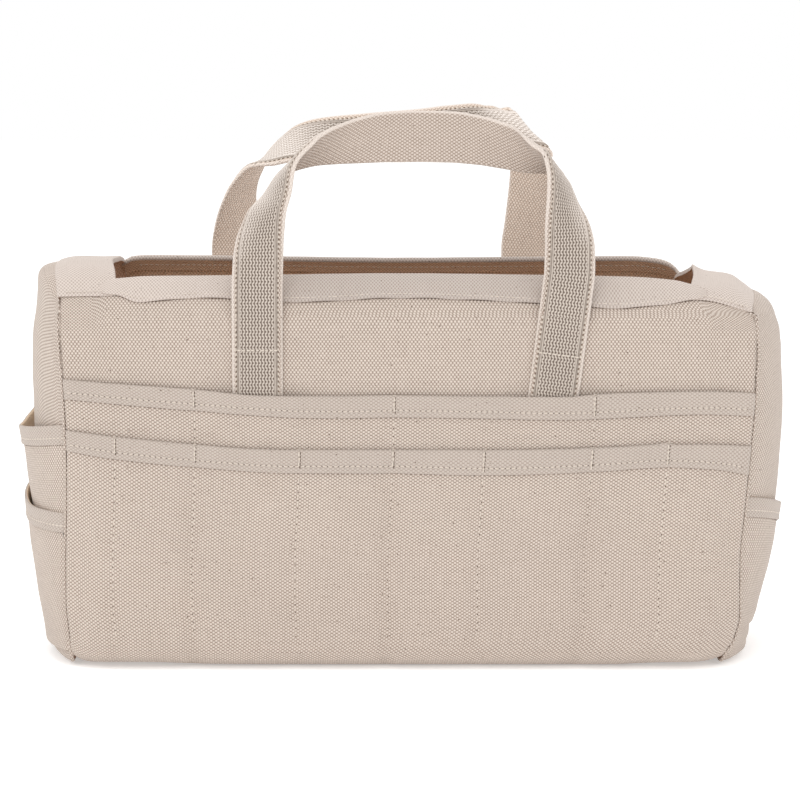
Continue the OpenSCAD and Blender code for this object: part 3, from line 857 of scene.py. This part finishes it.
class PocketPanel:
    """One hemmed panel across the front or the back, with its layer's depth and the seams between its pockets."""

    # How far a lower panel turns in under the bag, in degrees, and the depth that it turns about
    TURN_UNDER = 80
    TURN_CENTRE_Y = 74.0

    def __init__(self, side, tier):
        self.side = side
        self.upper = tier == "upper"
        self.gap = upper_in_y - wall_y if self.upper else lower_in_y - upper_in_y - CANVAS_T
        self.below = None if self.upper else PocketPanel(side, "upper")
        self.dividers = UPPER_DIVIDERS if self.upper else LOWER_DIVIDERS
        self.mouth_z = (upper_high if self.upper else lower_high)[2]
        self.top_line = UPPER_TOP if self.upper else LOWER_TOP
        self.foot_line = UPPER_FOOT if self.upper else LOWER_FOOT

    def view_x(self, x):
        """The back is cut as the front is, so it mirrors it."""
        return x if self.side == FRONT else -x

    def top(self, x):
        return self.mouth_z + self.top_line(self.view_x(x))

    def foot(self, x):
        return self.mouth_z + self.foot_line(self.view_x(x))

    def stand(self, x, z):
        """Depth of the panel's inner face: slack over its height, close to what it lies on at its mouth and seams."""
        share = (x - NOMINAL_LEFT) / LENGTH
        edge = np.minimum(share, 1 - share) * LENGTH
        closed = smooth(z, self.mouth_z - 60, self.mouth_z - 6)
        mouth_gap = 0.9
        if self.upper:
            over_strap = 0
            for strap in STRAP_FEET[self.side]:
                over_strap = over_strap + smooth(36 - np.abs(x - strap), 0, 18)
            mouth_gap = 1.3 + (STRAP_T + WEBBING_T - 1.0) * over_strap
            under = wall_y + wall_swell(x, z, self.side) - roll(edge, EDGE_ROLL)
        else:
            under = self.below.stand(x, z) + CANVAS_T
        gap = self.gap + (mouth_gap - self.gap) * closed
        pinch = 0
        for divider in self.dividers:
            pinch = pinch + bell(self.view_x(x), divider, 5.5)
        return under + 0.05 + gap * smooth(edge, -2, 26) * (1 - 0.28 * pinch)

    def place(self, share, profile):
        """Points of a profile (how far out, how high) at places along the panel."""
        out, z = profile
        x = NOMINAL_LEFT + LENGTH * share[:, None] + 0 * z
        if self.upper:
            y = self.stand(x, z) + out
            height = z
        else:
            turn = np.clip((POCKET_BASE_Z - z) / POCKET_BASE_Z, 0, 1)
            angle = np.radians(self.TURN_UNDER) * turn
            radius = self.stand(x, np.maximum(z, POCKET_BASE_Z)) - self.TURN_CENTRE_Y + out
            y = self.TURN_CENTRE_Y + radius * np.cos(angle)
            depth = POCKET_BASE_Z - 0.3 + out - CANVAS_T
            height = np.where(z < POCKET_BASE_Z, POCKET_BASE_Z - depth * np.sin(angle), z)
            height = height + bottom_lift(share[:, None], height)
        return np.stack([between_seams(share[:, None], z), self.side * y, height], -1)

    def build(self, name, node):
        share = shares(LENGTH, 3.0)
        x = NOMINAL_LEFT + LENGTH * share
        base = POCKET_BASE_Z + 0 * x if self.upper else 0 * x
        outer, inner, band = hemmed_profile(base, self.foot(x), self.top(x), plain=34)
        piece = sheet(name, self.place(share, outer), self.place(share, inner), [POCKET, FOLDED], band)
        finish_piece(piece, "canvas", node)

    def seam(self, x, z, out):
        """A line on the panel, out from its inner face: its points, and the way that each faces."""
        x = np.atleast_1d(np.asarray(x, float))
        z = np.atleast_1d(np.asarray(z, float)) + 0 * x
        points = self.place((x - NOMINAL_LEFT) / LENGTH, (out + 0 * z[:, None], z[:, None]))[:, 0]
        return points, np.tile([0.0, float(self.side), 0.0], (len(x), 1))

    def sew(self, threads, shade_dots, tacks):
        """The hem's row and edge, and then each line between two pockets, with its bar tack over the hem. The dark
        dots between and beside the stitches and along the hem's foot are painted shade.
        """
        x = np.linspace(NOMINAL_LEFT + 2, NOMINAL_RIGHT - 2, 220)
        hem = self.seam(x, self.foot(x) + HEM_GROOVE, 2.2)
        threads.row(hem, 3.5, 2.7, radius=0.4, seed=21 + self.upper)
        shade_dots.row(hem, 3.5, 0.8, radius=0.27, start=1.75, seed=21 + self.upper)
        shade_dots.row(self.seam(x, self.foot(x) - 0.2, CANVAS_T), 2.1, 1.3, radius=0.3, seed=25 + self.upper)
        low_end = self.mouth_z - 50 if self.upper else SEAM_FOOT_Z
        for index, divider in enumerate(self.dividers):
            at = self.view_x(divider)
            foot, top = float(self.foot(at)), float(self.top(at))
            z = np.arange(foot - 2, low_end, -1.0)
            upright = self.seam(at + 0 * z, z, CANVAS_T - 0.12)
            threads.row(upright, 5.1, 3.7, radius=0.3, seed=61 + index)
            shade_dots.row(upright, 5.1, 1.0, radius=0.42, start=2.55, jitter=0.15, seed=81 + index)
            z = np.arange(top - 1.0, foot, -0.8)
            tacks.row(self.seam(at + 0.15 * np.sin(z), z, 2.5), 3.3, 3.0, radius=0.52, seed=91 + index)
            shade_dots.row(self.seam(at + 0.75 + 0 * z, z, 2.45), 2.2, 1.9, radius=0.3, seed=95 + index)
            for shift in (-0.45, 0.45):
                points, _ = self.seam(at + shift, top - 0.2, 1.5)
                tacks.bead(points[0], np.array([0.0, self.side, 0.3]), np.array([0.0, 0, 1.0]), 2.8, 0.5)


def seam_welts():
    """The turned-in cloth that fills the groove of each upright seam."""
    around = np.radians(np.arange(0, 360, 45))
    for side_name, side in FACES.items():
        for end_name, end in ENDS.items():
            z = np.concatenate([np.linspace(2, 14, 9), np.linspace(18, 224, 90)])
            dip = np.clip(CORNER_R - z, 0, CORNER_R)
            out = -0.1 + 0.45 * smooth(z, 6, 20)
            y = PANEL_HALF + out - CORNER_R + np.sqrt(CORNER_R**2 - dip**2)
            x = seam_x(end, z) + (0.7 * smooth(z, 6, 20) - 0.7 * smooth(z, 200, 222)) * end
            rings = np.stack([
                x[:, None] + 1.25 * np.cos(around) * side * end,
                side * y[:, None] + 1.3 * np.sin(around) * end,
                z[:, None] + 0 * around,
            ], -1)
            name = f"{side_name}_{end_name}_welt"
            finish_piece(rings_piece(name, rings, WALL, np.arange(len(around)) * 1.1), "canvas")


def sew_seams(shade_dots):
    """The four upright seams and the bands' lower edges sink into grooves, drawn as rows of dark dots of painted
    shade.
    """
    for side in (FRONT, BACK):
        for end in (LEFT, RIGHT):
            z = np.linspace(SEAM_FOOT_Z, SEAM_TOP_Z, 200)
            points = np.stack([seam_x(end, z) + end * 0.1, side * (PANEL_HALF + 1.35) + 0 * z, z], -1)
            normals = np.tile([0.45 * end, 0.9 * side, 0.0], (len(z), 1))
            shade_dots.row((points, normals), 2.6, 1.9, radius=0.33, jitter=0.2, seed=111 + side + end)
        x = np.linspace(left_x(228) + 2, right_x(228) - 2, 220)
        angle = shoulder_angle(x, BAND_LOW(x) - 0.1, side)
        shade_dots.row(shoulder_seam(x, angle, 0.15, side), 2.2, 1.5, radius=0.34, seed=121 + side)


# ---------------------------------------------------------------- handles
SEWN_Z = box_mm("front_left_strap_end")[1][2]
BEND_Z = box_mm("front_left_strap_leg")[1][2] + 1
STRAP_CUT_Z = 223.0
BEND_REACH = 7.0
SEWN_BEND = (-3.0, 9.0)
STRAP_W, WEBBING_W = 32.0, 25.4
# Each strap's middle line from its left foot to its right one: X, height, how far it has turned over in degrees, and
# how far the fold there runs along the strap, in strap widths
HANDLES = {
    "front": (FRONT, (
        (-93.4, 161, 0, 0), (-93.4, 200, 0, 0), (-93.4, 236, 0, 0), (-92.8, 258, 6, 0.05), (-92, 270, 18, 0.18),
        (-90.3, 280, 31, 0.3), (-88, 289, 43, 0.45), (-83, 300, 60, 0.67), (-77.3, 312, 79, 0.85),
        (-70, 321, 92, 0.93), (-61, 327, 114, 0.86), (-48.5, 331.2, 132, 0.63), (-30, 334.2, 152, 0.35),
        (-10, 335.8, 170, 0.12), (8.7, 336, 180, 0), (27.4, 335.7, 176, -0.03), (46, 333.8, 162, -0.18),
        (58, 331.4, 153, -0.32), (70.5, 328.3, 143, -0.46), (83, 324.3, 115, -0.74), (91, 319.6, 93, -0.82),
        (95.5, 311.5, 72, -0.54), (97.5, 304, 62, -0.42), (99.3, 294, 49, -0.28), (100.8, 285, 34, -0.15),
        (102, 276, 20, -0.07), (102.8, 266, 9, -0.02), (102.6, 252, 2, 0), (101.3, 240, 0, 0), (98, 214, 0, 0),
        (91.3, 161, 0, 0))),
    "back": (BACK, (
        (-117.3, 161, 0, 0), (-117.3, 200, 0, 0), (-117.3, 240, 0, 0), (-117.3, 256, 6, 0), (-116.5, 274.5, 29, 0),
        (-113.6, 294, 53, 0.05), (-110, 304, 65, 0.1), (-104.2, 312.8, 76, 0.15), (-98.4, 317.6, 91, 0.2),
        (-91.5, 321.7, 108, 0.2), (-80.5, 327.5, 126, 0.15), (-72, 330.5, 142, 0.1), (-60, 332.2, 156, 0),
        (-38, 333.5, 172, 0), (-12, 335.4, 180, 0), (10, 337.2, 180, -0.1), (33, 340, 177, -0.3),
        (53, 341.4, 170, -0.56), (71.5, 341.2, 148, -1.03), (84.5, 337.5, 95, -1.45), (87.4, 329, 40, -0.93),
        (87.6, 317, 22, -0.5), (87.2, 305, 15, -0.28), (86, 291, 10, -0.1), (84, 274, 4, 0), (81.8, 257, 0, 0),
        (81.8, 214, 0, 0), (83, 161, 0, 0))),
}


def handle_route(stations, step):
    """The strap's middle line at even steps: X, Z, turn and slant, with the two places where its pieces are cut."""
    points = np.array(stations, float)
    chord = running(np.hypot(*np.diff(points[:, :2], axis=0).T))
    curves = [line(*zip(chord, points[:, i])) for i in range(4)]
    dense = np.linspace(0, chord[-1], 4000)
    high = dense[curves[1](dense) >= STRAP_CUT_Z]
    marks = [0, high[0], high[-1], chord[-1]]
    places, cuts = [0.0], []
    for start, end in zip(marks, marks[1:]):
        count = max(2, int(round((end - start) / step)))
        places += list(np.linspace(start, end, count + 1)[1:])
        cuts.append(len(places) - 1)
    places = np.array(places)
    route = np.stack([curve(places) for curve in curves], -1)
    route[:, 2] = np.radians(route[:, 2])
    return route, cuts[:2], places


def handle_frames(side, route):
    """At each point of the route: its place, the direction across the strap and the way that its webbing faces."""
    middle_y = wall_y + (STRAP_T + WEBBING_T) / 2
    tangent = unit(np.gradient(route[:, :2], axis=0))
    kernel = np.array([1, 2, 3, 2, 1]) / 9
    padded = np.pad(tangent, ((2, 2), (0, 0)), mode="edge")
    tangent = unit(np.stack([np.convolve(padded[:, i], kernel, "valid") for i in range(2)], -1))
    zeros = np.zeros(len(route))
    inward = np.stack([tangent[:, 1], zeros, -tangent[:, 0]], -1)
    outward = np.tile([0.0, -1.0, 0.0], (len(route), 1))
    turn = route[:, 2][:, None]
    slant = route[:, 3][:, None] * np.stack([tangent[:, 0], zeros, tangent[:, 1]], -1)
    across = np.cos(turn) * inward + np.sin(turn) * outward + slant
    face = np.cos(turn) * outward - np.sin(turn) * inward
    place = np.stack([route[:, 0], zeros - middle_y, route[:, 1]], -1)
    if side == BACK:
        mirror = np.array([1.0, -1.0, 1.0])
        place, across, face = place * mirror, across * mirror, face * mirror
    return place, across, face


def strap_section():
    """The folded canvas strap's outline, across and outwards, from a corner round to it again."""
    half, low, high = STRAP_W / 2, -2.0, 0.4
    radius = 1.15
    flat = half - radius

    def edge(side, first):
        for a in np.radians(np.linspace(first, first + 120, 5)):
            yield side * flat + radius * math.cos(a), (low + high) / 2 + radius * 1.1 * math.sin(a)

    points = [(x, low - 0.12 * math.cos(x / half * math.pi / 2)) for x in np.linspace(-flat, flat, 15)]
    points += edge(1, -60)
    points += [(x, high + 0.45 * bell(abs(x), half - 1.9, 1.2)) for x in np.linspace(flat, -flat, 17)]
    points += edge(-1, 120)
    return np.array(points)


def webbing_section():
    """The webbing's outline: a flat weave with a raised selvage along both edges."""
    half, low, high = WEBBING_W / 2, 0.35, 1.85
    points = [(x, low) for x in np.linspace(-half + 0.3, half - 0.3, 13)]
    points += [(half, (low + high) / 2 - 0.2), (half - 0.05, high - 0.35)]
    for x in np.linspace(half - 0.4, -half + 0.4, 29):
        ridge = 0.28 * bell(abs(x), half - 0.9, 0.6) - 0.18 * bell(abs(x), half - 2.1, 0.5)
        points.append((x, high + ridge))
    points += [(-half + 0.05, high - 0.35), (-half, (low + high) / 2 - 0.2)]
    return np.array(points)


def swept(frames, section):
    """A strap's rings: its section at each point of its route."""
    place, across, face = (part[:, None, :] for part in frames)
    return place + across * section[None, :, :1] + face * section[None, :, 1:]


def blend_leg(piece, key, part):
    """Bakes the piece's transform into its mesh. The bodies and heights of a bend, just above the sewn row for the
    lower pieces and at the height of the rim for the upper piece, are worked out but not used.
    """
    if part == "arch":
        bodies, low, high = (f"{key}_handle_base", f"{key}_handle"), BEND_Z - BEND_REACH, BEND_Z + BEND_REACH
    else:
        bodies, (low, high) = ("bag", f"{key}_handle_base"), (SEWN_Z + reach for reach in SEWN_BEND)
    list(bodies)
    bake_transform(piece)


def handle(key):
    side, stations = HANDLES[key]
    route, cuts, along = handle_route(stations, 1.7)
    frames = handle_frames(side, route)
    spans = {"left": (0, cuts[0]), "arch": (cuts[0], cuts[1]), "right": (cuts[1], len(route) - 1)}

    def strip(kind, section, widths, material, slot):
        rings = swept(frames, section)
        if side == BACK:
            rings, widths = rings[:, ::-1], widths[::-1]
        for part, (start, end) in spans.items():
            name, nodes = f"{key}_{part}_{kind}", [f"{key}_{part}_{kind}_end"]
            if part == "arch":
                name = f"{key}_handle_{kind}"
                nodes = [f"{key}_left_{kind}_leg", f"{key}_right_{kind}_leg", name]
            piece = rings_piece(name + "_cloth", rings[start:end + 1], material, widths, along[start])
            blend_leg(piece, key, part)
            finish_piece(piece, slot, *nodes, body=None)

    strap, webbing = strap_section(), webbing_section()
    widths = running(np.linalg.norm(np.diff(strap, axis=0), axis=1))
    # The back strap takes its lighter copy of the canvas: painted light.
    strip("strap", strap, widths, STRAP if side == FRONT else FAR_STRAP_PAINTED_LIGHT, "canvas")
    strip("webbing", webbing, webbing[:, 0], WEBBING, "webbing")
    place, across, face = frames
    for kind, material, reach, rise, sizes in (
        ("stitches", THREAD, 0.55, 0.65, {"length": 2.0, "radius": 0.62, "seed": 5}),
        # The dark dashes between the stitches are painted shade.
        ("shade_dots", SHADE, 0.5, 0.62, {"length": 1.4, "radius": 0.42, "start": 1.55, "seed": 6}),
    ):
        for part, (start, end) in spans.items():
            sewing = Sewing()
            span = slice(start, end + 1)
            for edge in (-1, 1):
                points = place + across * edge * (WEBBING_W / 2 + reach) + face * rise
                sewing.row((points[span], face[span]), 3.1, **sizes)
            if kind == "stitches" and part != "arch":
                sew_across(sewing, frames, np.arange(start, end + 1))
            piece = sewing.piece(f"{key}_{part}_strap_{kind}", material)
            blend_leg(piece, key, part)
            finish_piece(piece, "thread", body=None)


def sew_across(threads, frames, span):
    """The row that holds the strap to the bag for the last time, which lies lower on the right."""
    place, across, face = frames
    below = 2 if place[span[0], 0] < 0 else 6
    i = span[np.argmin(np.abs(place[span, 2] - SEWN_Z + below))]
    offsets = np.linspace(-WEBBING_W / 2 - 2.4, WEBBING_W / 2 + 2.4, 30)[:, None]
    out = np.where(np.abs(offsets) < WEBBING_W / 2, 2.0, 0.65)
    points = place[i] + across[i] * offsets + face[i] * out
    threads.row((points, np.tile(face[i], (len(points), 1))), 2.9, 2.2, radius=0.55, seed=9)


def sew_bands(threads):
    """A row above each band's lower edge, and one along its edge inside the bag."""
    for side in (FRONT, BACK):
        x = np.linspace(left_x(226) + 4, right_x(222) - 4, 190)
        angle = shoulder_angle(x, BAND_LOW(x) + 2.2, side)
        threads.row(shoulder_seam(x, angle, BAND_OUT - 0.05, side), 3.4, 2.6, radius=0.3, seed=13)
        x = np.linspace(opening_left + 2, opening_right - 3, 160)
        angle = math.radians(RIM_ANGLE - 8.5) + 0 * x
        threads.row(shoulder_seam(x, angle, 0.05 - CANVAS_T - BAND_OUT, side, -1), 3.6, 2.8, radius=0.4, seed=17)


# ---------------------------------------------------------------- stage, light and camera
def floor():
    """A pale floor that glows a little, so that it stays white around the bag's shadow."""
    mesh = bpy.data.meshes.new("floor")
    mesh.from_pydata([(-30, -30, 0), (30, -30, 0), (30, 30, 0), (-30, 30, 0)], [], [(0, 1, 2, 3)])
    board = add_object("floor", mesh)
    mesh.materials.append(Nodes("floor").surface({
        "Base Color": (0.93, 0.93, 0.93, 1), "Roughness": 1.0, "Specular IOR Level": 0.0,
        "Emission Color": (1, 1, 1, 1), "Emission Strength": 0.30,
    }))


def area_light(name, place, target, size, power):
    light = bpy.data.lights.new(name, "AREA")
    light.shape = "RECTANGLE"
    light.size, light.size_y = size
    light.energy = power
    lamp = add_object(name, light)
    lamp.location = place
    lamp.rotation_mode = "QUATERNION"
    lamp.rotation_quaternion = Vector(np.subtract(target, place)).to_track_quat("-Z", "Y")


def lighting():
    world = bpy.data.worlds.new("studio")
    bpy.context.scene.world = world
    world.use_nodes = True
    background = world.node_tree.nodes["Background"]
    background.inputs["Color"].default_value = (1.0, 1.0, 1.0, 1)
    background.inputs["Strength"].default_value = 1.0
    area_light("overhead", (-0.2, 0.1, 2.2), (0, 0, 0.1), (2.6, 2.0), 14)
    area_light("key_front", (-0.7, -2.3, 1.3), (0, 0, 0.15), (1.4, 1.4), 9)


def camera():
    """A long lens a little above the bag, looking down on it by a few degrees."""
    distance, tilt, look_x, look_z = 1.700, math.radians(6.09), -0.00375, 0.172
    front = wall_y * MM + 0.012
    lens_camera = bpy.data.cameras.new("camera")
    lens_camera.sensor_width = 36.0
    lens_camera.lens = 122.28
    lens_camera.clip_end = 200
    eye = add_object("camera", lens_camera)
    eye.location = (look_x, -front - distance * math.cos(tilt), look_z + distance * math.sin(tilt))
    eye.rotation_euler = (math.pi / 2 - tilt, 0, 0)
    bpy.context.scene.camera = eye
    bpy.context.scene.view_settings.view_transform = "Standard"


# ---------------------------------------------------------------- build
camera()
lighting()
floor()

body_wrap()
for side_name, side in FACES.items():
    rim_band(side, f"{side_name}_rim_band", f"{side_name}_band")
for end_name, side in ENDS.items():
    top_cap(side, f"{end_name}_top_cap", f"{end_name}_cap")
for end_name, side in ENDS.items():
    end_panel(side, f"{end_name}_end_panel", f"{end_name}_end")

# Thread stitches, and dark dots of painted shade beside them.
hem_threads, painted_shade_dot_rows = Sewing(), Sewing()
for pocket_node in END_POCKETS:
    end_pocket(pocket_node, pocket_node + "_cloth", hem_threads, painted_shade_dot_rows)

for side_name, side in FACES.items():
    tack_threads = Sewing()
    for tier in ("upper", "lower"):
        panel = PocketPanel(side, tier)
        panel.build(f"{side_name}_{tier}_pocket_cloth", f"{side_name}_{tier}_pocket")
        panel.sew(hem_threads, painted_shade_dot_rows, tack_threads)
    finish_piece(tack_threads.piece(f"{side_name}_tacks", THREAD), "thread", f"{side_name}_bar_tacks")
sew_bands(hem_threads)
sew_seams(painted_shade_dot_rows)
seam_welts()
finish_piece(hem_threads.piece("hem_stitches", THREAD), "thread")
finish_piece(painted_shade_dot_rows.piece("painted_shade_dot_rows", PAINTED_SHADE_DOTS), "thread")

for handle_key in HANDLES:
    handle(handle_key)
